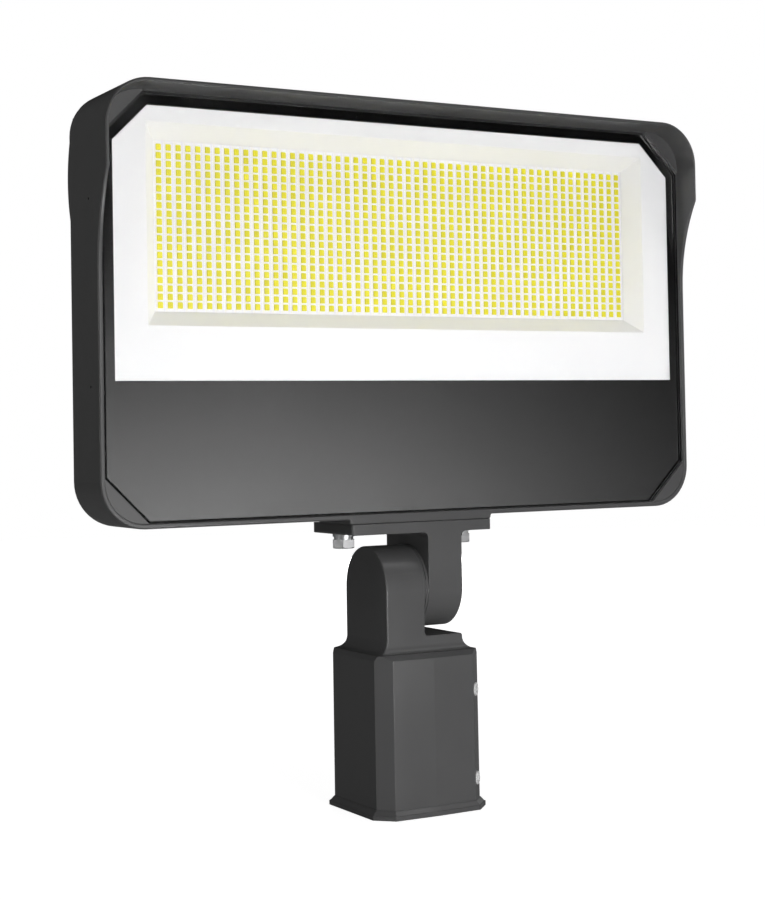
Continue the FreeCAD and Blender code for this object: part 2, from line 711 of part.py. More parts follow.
def housing_shell():
    """Outer form: rounded block with its foot pad, trimmed to rim and visor, hollow in front."""
    front_y = visor_y - cut_over / 2.0
    block = round_slab(housing_hx, housing_z0, housing_z1, housing_corner_r, front_y, back_y)
    block = block.makeFillet(back_round, edges_in_plane(block, 1, back_y))
    pad_half = plate_half + pad_margin
    pad = slab(pad_half, plate_top, pocket_z0, front_y, back_y - back_round - pad_back)
    block = block.fuse(pad)
    sides = [edge for edge in block.Edges
             if same(abs(edge.CenterOfMass.x), pad_half) and edge.Length > 2.0 * rim_front
             and (same(edge.CenterOfMass.z, plate_top) or same(edge.CenterOfMass.z, housing_z0))]
    block = block.makeFillet(pad_round, sides)
    block = block.cut(visor_trim())
    block = block.makeFillet(front_round, [edge for edge in front_edges(block)
                                           if not same(edge.CenterOfMass.z, plate_top)])
    recess = front_recess()
    shell = block.cut(recess)
    inner_edges = [edge for edge in front_edges(shell) if same(edge.distToShape(recess)[0], 0)]
    return shell.makeFillet(inner_round, inner_edges)


def make_fin(x):
    """Upright cooling fin with an arched back edge."""
    peak_z = housing_z1 - fin_peak_drop
    arch_half = fin_peak_drop - top_wall
    low_z, high_z = fin_z0 - back_wall / 2.0, housing_z1 - top_wall / 2.0
    root_y = floor_back_y - floor_t / 2.0
    x0 = x - fin_t / 2.0
    root_low, back_low = vec(x0, root_y, low_z), vec(x0, back_y, low_z)
    arch_low, arch_high = vec(x0, back_y, peak_z - arch_half), vec(x0, back_y, peak_z + arch_half)
    back_high, root_high = vec(x0, back_y, high_z), vec(x0, root_y, high_z)
    line = Part.LineSegment
    wire = Part.Wire([
        line(root_low, back_low).toShape(), line(back_low, arch_low).toShape(),
        Part.Arc(arch_low, vec(x0, back_y + fin_rise, peak_z), arch_high).toShape(),
        line(arch_high, back_high).toShape(), line(back_high, root_high).toShape(),
        line(root_high, root_low).toShape()])
    return Part.Face(wire).extrude(vec(fin_t, 0, 0))


def fin_places():
    reach = pocket_hx - fin_edge_gap - fin_t / 2.0
    count = 2 * int(reach // fin_pitch) + 1
    pitch = 2.0 * reach / (count - 1)
    return [-reach + k * pitch for k in range(count)]


def board_screw_places():
    offset = well_hz + board_edge_z / 2.0
    return [(x, array_z + side * offset) for side in (-1.0, 1.0) for x in board_screw_xs]


def ear_places():
    """Middle of each driver ear, left and right."""
    left = -driver_left - cap_t - ear_len / 2.0
    right = driver_right + cap_t + ear_len / 2.0
    return [(left, driver_mid_z - ear_drop), (right, driver_mid_z - ear_drop)]


def make_housing():
    shell = housing_shell()
    inner_r = housing_corner_r - rim_wall
    hollows = [
        corner_cut_slab(pocket_hx, pocket_z0, pocket_z1, pocket_leg, pocket_leg,
                        glass_y - glass_recess / 2.0, ledge_y),
        corner_cut_slab(cavity_hx, cavity_z0, cavity_z1, cavity_leg, cavity_leg, glass_y, floor_y),
        corner_cut_slab(cavity_hx, cavity_z0, bay_top, cavity_leg, 0.0, glass_y, bay_floor_y),
        round_slab(pocket_hx, fin_z0, housing_z1 - top_wall, inner_r, floor_back_y, back_y + cut_over),
    ]
    body = shell.cut(hollows)
    fin_bounds = round_slab(pocket_hx + rim_wall / 2.0, fin_z0 - back_wall, housing_z1 - top_wall / 2.0,
                            inner_r, floor_y, back_y + fin_rise + cut_over)
    posts = [make_fin(x).common(fin_bounds) for x in fin_places()]
    post_kinds = ((post_r, reflector_post_z), (support_post_r, support_post_z))
    posts += [rod(r, floor_y - flange_y - reflector_t, vec(x, flange_y + reflector_t, z), BACK)
              for x in reflector_post_xs for r, z in post_kinds]
    boss_y = bay_floor_y - ear_boss_h
    posts += [rod(ear_shank_r + ear_boss_wall, ear_boss_h + back_wall / 2.0, vec(x, boss_y, z), BACK)
              for x, z in ear_places()]
    posts += on_both_sides(lambda x: rod(flange_shank_r + boss_wall, boss_top - housing_z0 - rim_wall / 2.0,
                                         vec(x, 0, housing_z0 + rim_wall / 2.0), UP), flange_bolt_half)
    body = body.fuse(posts)
    holes = on_both_sides(lambda x: rod(flange_shank_r + thread_clear, bolt_tip_z + tip_clear - plate_top,
                                        vec(x, 0, plate_top), UP), flange_bolt_half)
    holes += [rod(small_shank_r + thread_clear, small_thread + tip_clear, vec(x, floor_y, z), BACK)
              for x, z in board_screw_places()]
    holes += [rod(flat_shank_r + thread_clear, reflector_t + flat_thread + tip_clear,
                  vec(x, flange_y, reflector_post_z), BACK)
              for x in reflector_post_xs]
    holes += [rod(ear_shank_r + thread_clear, ear_boss_h + tip_clear, vec(x, boss_y, z), BACK)
              for x, z in ear_places()]
    holes += [rod(r + hole_clear, back_wall, vec(x, bay_floor_y, driver_mid_z), BACK)
              for r, x in ((gland_thread_r, gland_x), (vent_stem_r, vent_x))]
    for drop in wall_hole_drops:
        holes += [rod(wall_hole_r, wall_hole_depth * 2.0, vec(side * (housing_hx + wall_hole_depth),
                  rim_y + wall_hole_behind_rim, housing_z1 - drop), vec(-side, 0, 0)) for side in (-1.0, 1.0)]
    return body.cut(holes).removeSplitter()


# Glass

def make_glass():
    pane = corner_cut_slab(glass_hx, glass_z0, glass_z1, glass_leg, glass_leg, glass_y, print_y)
    return pane.makeChamfer(glass_edge, edges_in_plane(pane, 1, glass_y))


def make_print():
    leg = glass_leg - print_inset * corner_growth
    layer = corner_cut_slab(glass_hx - print_inset, glass_z0 + print_inset, glass_z1 - print_inset,
                            leg, leg, seal_y - print_t, seal_y)
    return layer.cut(corner_cut_slab(window_hx, window_z0, window_z1, 0.0, window_leg, print_y, seal_y))


def make_seal():
    leg = pocket_leg - seal_clear * corner_growth
    inner_leg = cavity_leg + seal_inset * corner_growth
    ring = corner_cut_slab(pocket_hx - seal_clear, pocket_z0 + seal_clear, pocket_z1 - seal_clear,
                           leg, leg, seal_y, ledge_y)
    hollow = corner_cut_slab(cavity_hx + seal_inset, cavity_z0 - seal_inset, cavity_z1 + seal_inset,
                             inner_leg, inner_leg, seal_y, ledge_y)
    return ring.cut(hollow)


# Light engine

def well_wire(grow, y):
    """Rectangle of the well's walls at one depth, set out by grow."""
    run = well_run * (well_foot_y - y) / well_depth + grow
    half_x, half_z = well_hx + run, well_hz + run
    points = corner_cut_points(half_x, array_z - half_z, array_z + half_z, 0.0, 0.0, y)
    return Part.makePolygon(points + points[:1])


def well_block(grow, y0, y1):
    """Tapered well between two depths."""
    return Part.makeLoft([well_wire(grow, y0), well_wire(grow, y1)], True, True)


def make_reflector():
    leg = cavity_leg - reflector_clear * corner_growth
    flange = corner_cut_slab(cavity_hx - reflector_clear, reflector_z0, cavity_z1 - reflector_clear, 0.0, leg,
                             flange_y, flange_y + reflector_t)
    wall = reflector_t * math.hypot(well_run, well_depth) / well_depth
    tray = flange.fuse(well_block(wall, flange_y, well_foot_y))
    tray = tray.cut(well_block(0.0, flange_y - well_gap, well_foot_y + well_gap))
    sinks = [turned([(0, 0), (flat_head_r + hole_clear / 2.0, 0), (flat_shank_r + hole_clear, reflector_t),
                     (flat_shank_r + hole_clear, 2.0 * reflector_t), (0, 2.0 * reflector_t)],
                    vec(x, flange_y, reflector_post_z), BACK) for x in reflector_post_xs]
    return tray.cut(sinks).removeSplitter()


def make_reflector_screws():
    tip = reflector_t + flat_thread
    profile = [(0, 0), (flat_head_r, 0), (flat_shank_r, reflector_t), (flat_shank_r, tip), (0, tip)]
    return [turned(profile, vec(x, flange_y, reflector_post_z), BACK) for x in reflector_post_xs]


def board_area(inset, y0, y1):
    half_x = well_hx + board_edge_x - inset
    return round_slab(half_x, board_z0 + inset, board_z1 - inset, board_corner, y0, y1)


def screw_holes(y0, y1):
    return [rod(small_shank_r + hole_clear, y1 - y0, vec(x, y0, z), BACK) for x, z in board_screw_places()]


def make_board():
    return board_area(0.0, board_y, pad_front_y).cut(screw_holes(board_y, pad_front_y))


def make_thermal_pad():
    return board_area(thermal_inset, pad_front_y, floor_y).cut(screw_holes(pad_front_y, floor_y))


def make_emitters():
    """One strip for each column of emitters."""
    lefts = [-array_hx + k * led_pitch_x for k in range(led_columns)]
    return [Part.makeBox(led_w, led_t, 2.0 * array_hz, vec(x, board_y - led_t, array_z - array_hz))
            for x in lefts]


def pan_screw(shank_r, length, head_r, head_h, base):
    """Pan-head screw that goes in along +Y; base is under its head."""
    return turned([(0, -head_h), (head_r * pan_top, -head_h), (head_r * pan_edge, -head_h * pan_edge_h),
                   (head_r, 0), (shank_r, 0), (shank_r, length), (0, length)], base, BACK)


def make_board_screws():
    length = board_t + thermal_pad_t + small_thread
    return [pan_screw(small_shank_r, length, small_head_r, small_head_h, vec(x, board_y, z))
            for x, z in board_screw_places()]


def make_connector():
    return Part.makeBox(connector_w, connector_t, connector_h,
                        vec(connector_x - connector_w / 2.0, board_y - connector_t, board_z0))


# Driver and wiring

def driver_section(x0, x1):
    """Round-cornered block of the driver between two places along X."""
    case = round_slab(driver_t / 2.0, driver_z0, driver_z0 + driver_h, driver_round, 0.0, x1 - x0)
    case.rotate(vec(0, 0, 0), UP, -90)
    case.translate(vec(x0, bay_floor_y - driver_t / 2.0, 0))
    return case


def make_driver_case():
    return driver_section(-driver_left, driver_right)


def make_driver_caps():
    ear_y = bay_floor_y - ear_boss_h - ear_t
    caps = []
    for (x, z), x0 in zip(ear_places(), (-driver_left - cap_t, driver_right)):
        ear = Part.makeBox(ear_len, ear_t, ear_w, vec(x - ear_len / 2.0, ear_y, z - ear_w / 2.0))
        hole = rod(ear_shank_r + hole_clear, ear_t, vec(x, ear_y, z), BACK)
        caps.append(driver_section(x0, x0 + cap_t).fuse(ear).cut(hole).removeSplitter())
    return caps


def make_driver_screws():
    ear_y = bay_floor_y - ear_boss_h - ear_t
    return [pan_screw(ear_shank_r, ear_t + ear_boss_h, ear_head_r, ear_head_h, vec(x, ear_y, z))
            for x, z in ear_places()]


def lead_heights():
    return [driver_mid_z + k * lead_pitch for k in range(3)]


def make_terminal_block():
    base = vec(block_x0, bay_floor_y - block_t, driver_mid_z + lead_pitch - block_h / 2.0)
    block = Part.makeBox(block_w, block_t, block_h, base)
    wells = [rod(block_well_r, block_t / 2.0, vec(block_x0 + block_w * share, base.y, z), BACK)
             for z in lead_heights() for share in block_wells]
    return block.cut(wells)


def make_driver_leads():
    y = bay_floor_y - block_t + 2.0 * lead_r
    x0 = driver_right + cap_t
    return [rod(lead_r, block_x0 - x0, vec(x0, y, z), RIGHT) for z in lead_heights()]


def make_led_leads():
    """Pair of leads from the driver's left end, up to the connector on the board."""
    start_x = -driver_left - cap_t
    front_y = floor_y - lead_stand
    bay_y = bay_floor_y - driver_t / 2.0 - ear_boss_h
    leads = []
    for side in (-1.0, 1.0):
        x = connector_x + side * connector_w / 4.0
        z = driver_mid_z + side * lead_pitch
        turn_z = z + lead_climb
        route = [vec(start_x, bay_y, z), vec(x, bay_y, z), vec(x, front_y, turn_z), vec(x, front_y, board_z0)]
        leads.append(bent_tube(route, lead_bend, lead_r))
    return leads


# Gland and breather

def make_gland():
    """Gland body, dome nut, seal and inner locknut, along +Y from the back wall."""
    at = vec(gland_x, back_y, driver_mid_z)
    inside = back_wall + gland_locknut_h
    body = rod(gland_thread_r, inside, at - BACK * inside, BACK)
    body = body.fuse([hexagon(gland_hex, gland_hex_h, at, BACK),
                      rod(gland_thread_r, gland_neck_h, at + BACK * gland_hex_h, BACK)])
    seal_r = gland_thread_r - gland_nut_wall
    seat = at + BACK * (gland_hex_h + gland_neck_h / 2.0)
    body = body.cut([rod(gland_bore_r, inside + gland_hex_h, at - BACK * inside, BACK),
                     rod(gland_lead_r, gland_neck_h, at + BACK * gland_hex_h, BACK),
                     rod(seal_r, gland_neck_h, seat, BACK)])
    seal = tube_ring(seal_r - thread_clear, gland_lead_r, gland_seal_h, seat, BACK)
    gap = at + BACK * (gland_hex_h + face_clear)
    hex_part = hexagon(gland_hex, nut_hex_h, gap, BACK)
    dome = turned([(0, 0), (gland_hex / 2.0, 0), (gland_hex / 2.0, nut_hex_h),
                   (nut_shoulder_r, nut_shoulder_h), (nut_end_r, gland_nut_h), (0, gland_nut_h)], gap, BACK)
    nut = hex_part.fuse(dome)
    end = gland_neck_h / 2.0 + gland_seal_h - face_clear
    nut = nut.cut([rod(gland_thread_r + thread_clear, gland_neck_h, gap, BACK), rod(seal_r, end, gap, BACK),
                   rod(gland_lead_r, gland_nut_h, gap, BACK)])
    locknut = hexagon(gland_hex, gland_locknut_h, at - BACK * inside, BACK)
    locknut = locknut.cut(rod(gland_thread_r + thread_clear, gland_locknut_h, at - BACK * inside, BACK))
    return body.removeSplitter(), nut.removeSplitter(), seal, locknut


def make_vent():
    inside = back_wall + vent_stem_in
    return turned([(0, -inside), (vent_stem_r, -inside), (vent_stem_r, 0), (vent_cap_r, 0),
                   (vent_cap_r, vent_edge_h), (vent_top_r, vent_cap_h), (0, vent_cap_h)],
                  vec(vent_x, back_y, driver_mid_z), BACK)


os.makedirs("parts", exist_ok=True)

save("slipfitter_body", make_slipfitter())
save("set_screws", make_set_screws())
pivot_bolt, pivot_washer, pivot_lock_washer = make_pivot_hardware()
save("pivot_bolt", pivot_bolt)
save("pivot_washer", pivot_washer)
save("pivot_lock_washer", pivot_lock_washer)

save("knuckle_arm", make_arm())
flange_bolts, flange_washers, flange_lock_washers = make_flange_hardware()
save("flange_bolts", flange_bolts)
save("flange_washers", flange_washers)
save("flange_lock_washers", flange_lock_washers)

save("housing", make_housing())
save("lens_glass", make_glass())
save("glass_print", make_print())
save("lens_seal", make_seal())

save("reflector", make_reflector())
save("reflector_screws", make_reflector_screws())
save("led_board", make_board())
save("led_emitters", make_emitters())
save("thermal_pad", make_thermal_pad())
save("board_screws", make_board_screws())
save("board_connector", make_connector())

save("driver_case", make_driver_case())
save("driver_end_caps", make_driver_caps())
save("driver_screws", make_driver_screws())
save("driver_leads", make_driver_leads())
save("led_leads", make_led_leads())
save("terminal_block", make_terminal_block())

supply_gland, gland_nut, gland_seal, gland_locknut = make_gland()
save("supply_gland", supply_gland)
save("gland_nut", gland_nut)
save("gland_seal", gland_seal)
save("gland_locknut", gland_locknut)
save("breather_vent", make_vent())
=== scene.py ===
"""Flood light on a slipfitter: its finishes, its single emitters, the studio and the camera."""

import logging
import math
from dataclasses import dataclass, field
from enum import Enum
from typing import Any, Union

import bmesh
import bpy
from mathutils import Matrix, Vector


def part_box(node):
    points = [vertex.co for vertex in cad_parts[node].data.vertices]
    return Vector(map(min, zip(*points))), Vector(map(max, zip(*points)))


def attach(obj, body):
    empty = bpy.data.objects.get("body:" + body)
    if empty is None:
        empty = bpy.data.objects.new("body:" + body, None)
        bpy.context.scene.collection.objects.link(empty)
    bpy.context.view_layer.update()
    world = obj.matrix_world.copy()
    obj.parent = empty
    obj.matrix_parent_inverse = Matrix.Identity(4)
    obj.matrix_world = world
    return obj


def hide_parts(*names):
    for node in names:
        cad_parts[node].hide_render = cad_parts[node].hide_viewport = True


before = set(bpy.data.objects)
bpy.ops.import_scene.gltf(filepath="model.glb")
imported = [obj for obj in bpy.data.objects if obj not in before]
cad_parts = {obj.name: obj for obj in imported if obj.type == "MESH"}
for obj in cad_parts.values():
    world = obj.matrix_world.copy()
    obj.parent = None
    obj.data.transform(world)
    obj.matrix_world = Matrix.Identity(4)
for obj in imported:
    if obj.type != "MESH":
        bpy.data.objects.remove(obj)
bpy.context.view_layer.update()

MM = 0.001
DRIFT_LOW, DRIFT_HIGH = 0.3, 0.7  # the part of a noise's range that most of its readings lie in
LOG = logging.getLogger("flood_light")
FINE_DETAIL, SLOW_DETAIL = 3.0, 2.0  # octaves of the noise in grain and in drift
Colour = tuple[float, float, float]
Place = tuple[float, float, float]
Value = Union[float, bpy.types.NodeSocket]


class Body(Enum):
    """The two bodies that the tilt joint parts."""

    SLIPFITTER = "slipfitter"
    HEAD = "head"


class Slot(Enum):
    """A material slot of the record, named here; no piece in this script takes its finish from it."""

    PHOSPHOR = "phosphor"


class Wiring:
    """Places nodes in a tree and joins their sockets."""

    def __init__(self, tree: bpy.types.NodeTree) -> None:
        """Keeps the tree that the nodes go into.

        Args:
            tree: a shader, world or geometry node tree.
        """
        self.tree = tree

    def node(self, kind: str, **settings: Any) -> bpy.types.Node:
        """Adds one node.

        Args:
            kind: the node's type name.
            settings: properties to set on it.

        Returns:
            The new node.
        """
        made = self.tree.nodes.new(kind)
        for name, value in settings.items():
            setattr(made, name, value)
        return made

    def feed(self, socket: bpy.types.NodeSocket, value: Any) -> None:
        """Joins a socket to an output, or sets its plain value.

        Args:
            socket: the input to feed.
            value: an output socket, a number or a colour.
        """
        if isinstance(value, bpy.types.NodeSocket):
            self.tree.links.new(value, socket)
        else:
            socket.default_value = value

    def calc(self, operation: str, *values: Value) -> bpy.types.NodeSocket:
        """Adds a Math node.

        Args:
            operation: the sum it does.
            values: its inputs, in order.

        Returns:
            Its result.
        """
        made = self.node("ShaderNodeMath", operation=operation)
        for socket, value in zip(made.inputs, values):
            self.feed(socket, value)
        return made.outputs[0]

    def ramp(self, value: Value, start: Value, end: Value, low: Value = 0.0,
             high: Value = 1.0) -> bpy.types.NodeSocket:
        """Carries a value from one span to another, eased and held at both ends.

        Args:
            value: what is read.
            start: reading that gives the low result.
            end: reading that gives the high result.
            low: result at the start.
            high: result at the end.

        Returns:
            The result.
        """
        made = self.node("ShaderNodeMapRange", interpolation_type="SMOOTHSTEP")
        for socket, item in zip(made.inputs, (value, start, end, low, high)):
            self.feed(socket, item)
        return made.outputs["Result"]

    def tint(self, share: Value, first: Any, second: Any) -> bpy.types.NodeSocket:
        """Mixes two colours.

        Args:
            share: how much of the second there is.
            first: colour or socket at 0.
            second: colour or socket at 1.

        Returns:
            The mixed colour.
        """
        made = self.node("ShaderNodeMix", data_type="RGBA")
        for index, item in ((0, share), (6, first), (7, second)):
            self.feed(made.inputs[index], item)
        return made.outputs[2]

    def group(self, tree: bpy.types.NodeTree, **values: Value) -> bpy.types.Node:
        """Places a shared node group.

        Args:
            tree: the group.
            values: its inputs by name, with underscores for spaces.

        Returns:
            The group's node.
        """
        made = self.node("ShaderNodeGroup", node_tree=tree)
        for name, value in values.items():
            self.feed(made.inputs[name.replace("_", " ")], value)
        return made


def rgba(colour: Colour, factor: float = 1.0) -> tuple[float, float, float, float]:
    """A colour times a factor, as a socket takes it."""
    return (colour[0] * factor, colour[1] * factor, colour[2] * factor, 1.0)


class SharedEffects:
    """Shader groups that more than one finish uses, each made once."""

    @staticmethod
    def _start(name: str, inputs: dict[str, float], outputs: tuple[str, ...]) -> tuple[Wiring, Any, Any]:
        """Begins a group.

        Args:
            name: the group's name.
            inputs: its number inputs with their values.
            outputs: names of its number outputs.

        Returns:
            The wiring, the group's input node and its output node.
        """
        tree = bpy.data.node_groups.new(name, "ShaderNodeTree")
        for label, value in inputs.items():
            socket = tree.interface.new_socket(label, in_out="INPUT", socket_type="NodeSocketFloat")
            socket.default_value = value
        for label in outputs:
            tree.interface.new_socket(label, in_out="OUTPUT", socket_type="NodeSocketFloat")
        wiring = Wiring(tree)
        return wiring, wiring.node("NodeGroupInput"), wiring.node("NodeGroupOutput")

    @classmethod
    def surface_grain(cls) -> bpy.types.NodeTree:
        """Fine grain and slow drift over a surface.

        Returns:
            A group with inputs Grain size and Drift size, and outputs Grain and Drift.
        """
        found = bpy.data.node_groups.get("surface_grain")
        if found:
            return found
        wiring, given, result = cls._start("surface_grain", {"Grain size": 0.0005, "Drift size": 0.04},
                                           ("Grain", "Drift"))
        place = wiring.node("ShaderNodeTexCoord").outputs["Object"]
        for size, name, detail in (("Grain size", "Grain", FINE_DETAIL),
                                   ("Drift size", "Drift", SLOW_DETAIL)):
            noise = wiring.node("ShaderNodeTexNoise")
            wiring.feed(noise.inputs["Vector"], place)
            wiring.feed(noise.inputs["Scale"], wiring.calc("DIVIDE", 1.0, given.outputs[size]))
            wiring.feed(noise.inputs["Detail"], detail)
            wiring.feed(result.inputs[name], noise.outputs["Fac"])
        return wiring.tree

    @classmethod
    def hairline(cls) -> bpy.types.NodeTree:
        """Fine lines drawn along one axis, as plating and extruding leave them.

        Returns:
            A group with inputs Line size and Stretch, and output Line.
        """
        found = bpy.data.node_groups.get("hairline")
        if found:
            return found
        wiring, given, result = cls._start("hairline", {"Line size": 0.0004, "Stretch": 20.0}, ("Line",))
        place = wiring.node("ShaderNodeSeparateXYZ")
        wiring.feed(place.inputs[0], wiring.node("ShaderNodeTexCoord").outputs["Object"])
        drawn = wiring.node("ShaderNodeCombineXYZ")
        wiring.feed(drawn.inputs["X"], wiring.calc("DIVIDE", place.outputs["X"], given.outputs["Stretch"]))
        wiring.feed(drawn.inputs["Y"], place.outputs["Y"])
        wiring.feed(drawn.inputs["Z"], place.outputs["Z"])
        noise = wiring.node("ShaderNodeTexNoise")
        wiring.feed(noise.inputs["Vector"], drawn.outputs[0])
        wiring.feed(noise.inputs["Scale"], wiring.calc("DIVIDE", 1.0, given.outputs["Line size"]))
        wiring.feed(noise.inputs["Detail"], SLOW_DETAIL)
        wiring.feed(result.inputs["Line"], noise.outputs["Fac"])
        return wiring.tree

    @classmethod
    def ruled_lines(cls) -> bpy.types.NodeTree:
        """Even lines at a pitch along one reading.

        Returns:
            A group with inputs Place, Pitch, First, Half width and Soft edge, and output Mask.
        """
        found = bpy.data.node_groups.get("ruled_lines")
        if found:
            return found
        wiring, given, result = cls._start(
            "ruled_lines", {"Place": 0.0, "Pitch": 0.005, "First": 0.0, "Half width": 0.0005,
                            "Soft edge": 0.0002}, ("Mask",))
        half = wiring.calc("DIVIDE", given.outputs["Pitch"], 2.0)
        from_first = wiring.calc("SUBTRACT", given.outputs["Place"], given.outputs["First"])
        wrapped = wiring.calc("WRAP", from_first, half, wiring.calc("MULTIPLY", half, -1.0))
        away = wiring.calc("SUBTRACT", wiring.calc("ABSOLUTE", wrapped), given.outputs["Half width"])
        soft = wiring.calc("DIVIDE", away, given.outputs["Soft edge"])
        wiring.feed(result.inputs["Mask"], wiring.ramp(soft, -1.0, 1.0, 1.0, 0.0))
        return wiring.tree


@dataclass(frozen=True)
class Finish:
    """What every finish has: a name and the plain numbers of its surface."""

    name: str
    colour: Colour
    roughness: float

    def material(self) -> bpy.types.Material:
        """Makes the material on first use.

        Returns:
            The finish's material.
        """
        made = bpy.data.materials.get(self.name)
        if made is None:
            made = bpy.data.materials.new(self.name)
            made.use_nodes = True
            shader = made.node_tree.nodes["Principled BSDF"]
            shader.inputs["Base Color"].default_value = rgba(self.colour)
            shader.inputs["Roughness"].default_value = self.roughness
            self.wire(Wiring(made.node_tree), shader)
        return made

    def wire(self, wiring: Wiring, shader: bpy.types.Node) -> None:
        """Adds what is special to the finish.

        Args:
            wiring: the material's nodes.
            shader: its surface shader.
        """
        raise NotImplementedError


@dataclass(frozen=True)
class GrainedFinish(Finish):
    """A coat, rubber or plastic with fine grain, soft edges and a slow drift of tone and gloss."""

    grain: float = 0.5 * MM
    drift: float = 45 * MM
    depth: float = 0.02 * MM
    edge: float = 0.3 * MM
    edge_samples: int = 6
    tone_spread: float = 0.06
    gloss_spread: float = 0.05
    relief_strength: float = 0.6

    def wire(self, wiring: Wiring, shader: bpy.types.Node) -> None:
        """Feeds colour, gloss and relief from the grain.

        Args:
            wiring: the material's nodes.
            shader: its surface shader.
        """
        grain = wiring.group(SharedEffects.surface_grain(), Grain_size=self.grain, Drift_size=self.drift)
        tone = wiring.tint(grain.outputs["Drift"], rgba(self.colour, 1 - self.tone_spread),
                           rgba(self.colour, 1 + self.tone_spread))
        wiring.feed(shader.inputs["Base Color"], tone)
        wiring.feed(shader.inputs["Roughness"],
                    wiring.ramp(grain.outputs["Drift"], DRIFT_LOW, DRIFT_HIGH,
                                self.roughness - self.gloss_spread, self.roughness + self.gloss_spread))
        relief = wiring.node("ShaderNodeBump")
        relief.inputs["Strength"].default_value = self.relief_strength
        relief.inputs["Distance"].default_value = self.depth
        wiring.feed(relief.inputs["Height"], grain.outputs["Grain"])
        rounded = wiring.node("ShaderNodeBevel", samples=self.edge_samples)
        rounded.inputs["Radius"].default_value = self.edge
        wiring.feed(relief.inputs["Normal"], rounded.outputs["Normal"])
        wiring.feed(shader.inputs["Normal"], relief.outputs["Normal"])


@dataclass(frozen=True)
class GlossPrint(Finish):
    """Smooth enamel that lies against the glass."""

    index: float = 2.4
    gloss_spread: float = 0.03
    grain: float = 2 * MM
    drift: float = 50 * MM

    def wire(self, wiring: Wiring, shader: bpy.types.Node) -> None:
        """Feeds the gloss from a slow drift.

        Args:
            wiring: the material's nodes.
            shader: its surface shader.
        """
        shader.inputs["IOR"].default_value = self.index
        film = wiring.group(SharedEffects.surface_grain(), Grain_size=self.grain, Drift_size=self.drift)
        wiring.feed(shader.inputs["Roughness"],
                    wiring.ramp(film.outputs["Drift"], DRIFT_LOW, DRIFT_HIGH,
                                self.roughness - self.gloss_spread, self.roughness + self.gloss_spread))


@dataclass(frozen=True)
class BareMetal(Finish):
    """Plated or extruded metal with fine drawn lines."""

    line: float = 0.35 * MM
    stretch: float = 14.0
    gloss_spread: float = 0.07
    cloud_grain: float = 1.5 * MM
    cloud: float = 6 * MM
    dull: float = 0.9
    bright: float = 1.06

    def wire(self, wiring: Wiring, shader: bpy.types.Node) -> None:
        """Feeds colour and gloss from the drawn lines.

        Args:
            wiring: the material's nodes.
            shader: its surface shader.
        """
        shader.inputs["Metallic"].default_value = 1.0
        lines = wiring.group(SharedEffects.hairline(), Line_size=self.line, Stretch=self.stretch)
        clouds = wiring.group(SharedEffects.surface_grain(), Grain_size=self.cloud_grain,
                              Drift_size=self.cloud)
        wiring.feed(shader.inputs["Base Color"],
                    wiring.tint(clouds.outputs["Drift"], rgba(self.colour, self.dull),
                                rgba(self.colour, self.bright)))
        wiring.feed(shader.inputs["Roughness"],
                    wiring.ramp(lines.outputs["Line"], DRIFT_LOW, DRIFT_HIGH,
                                self.roughness - self.gloss_spread, self.roughness + self.gloss_spread))


@dataclass(frozen=True)
class PaneGlass(Finish):
    """Clear flat glass that lets lamp light through to what lies behind."""

    index: float = 1.5
    grain: float = 2 * MM
    drift: float = 60 * MM
    film_start: float = 0.3
    film_full: float = 0.8
    passes: float = 0.94

    def wire(self, wiring: Wiring, shader: bpy.types.Node) -> None:
        """Sets up the clear body and lets shadow rays pass.

        Args:
            wiring: the material's nodes.
            shader: its surface shader.
        """
        shader.inputs["Transmission Weight"].default_value = 1.0
        shader.inputs["IOR"].default_value = self.index
        film = wiring.group(SharedEffects.surface_grain(), Grain_size=self.grain, Drift_size=self.drift)
        wiring.feed(shader.inputs["Roughness"],
                    wiring.ramp(film.outputs["Drift"], self.film_start, self.film_full, 0.0,
                                self.roughness))
        clear = wiring.node("ShaderNodeBsdfTransparent")
        clear.inputs["Color"].default_value = rgba(self.colour, self.passes)
        mixed = wiring.node("ShaderNodeMixShader")
        wiring.feed(mixed.inputs["Fac"], wiring.node("ShaderNodeLightPath").outputs["Is Shadow Ray"])
        wiring.feed(mixed.inputs[1], shader.outputs["BSDF"])
        wiring.feed(mixed.inputs[2], clear.outputs["BSDF"])
        wiring.feed(wiring.tree.nodes["Material Output"].inputs["Surface"], mixed.outputs["Shader"])


@dataclass(frozen=True)
class EmitterLayout:
    """Where the emitters stand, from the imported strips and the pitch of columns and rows."""

    columns: int = 54
    rows: int = 20
    pitch_x: float = 6.24 * MM
    pitch_z: float = 4.858 * MM

    @property
    def box(self) -> tuple[Vector, Vector]:
        """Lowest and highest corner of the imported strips."""
        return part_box("led_emitters")

    @property
    def middle(self) -> Vector:
        """Middle of the field of emitters."""
        return (self.box[0] + self.box[1]) / 2

    @property
    def width(self) -> float:
        """Width of one emitter."""
        return self.box[1].x - self.box[0].x - (self.columns - 1) * self.pitch_x

    @property
    def height(self) -> float:
        """Height of one emitter."""
        return self.box[1].z - self.box[0].z - (self.rows - 1) * self.pitch_z

    @property
    def thickness(self) -> float:
        """Thickness of one emitter."""
        return self.box[1].y - self.box[0].y

    @property
    def first_x(self) -> float:
        """Middle of the leftmost column."""
        return self.middle.x - (self.columns - 1) * self.pitch_x / 2

    @property
    def first_z(self) -> float:
        """Middle of the lowest row."""
        return self.middle.z - (self.rows - 1) * self.pitch_z / 2


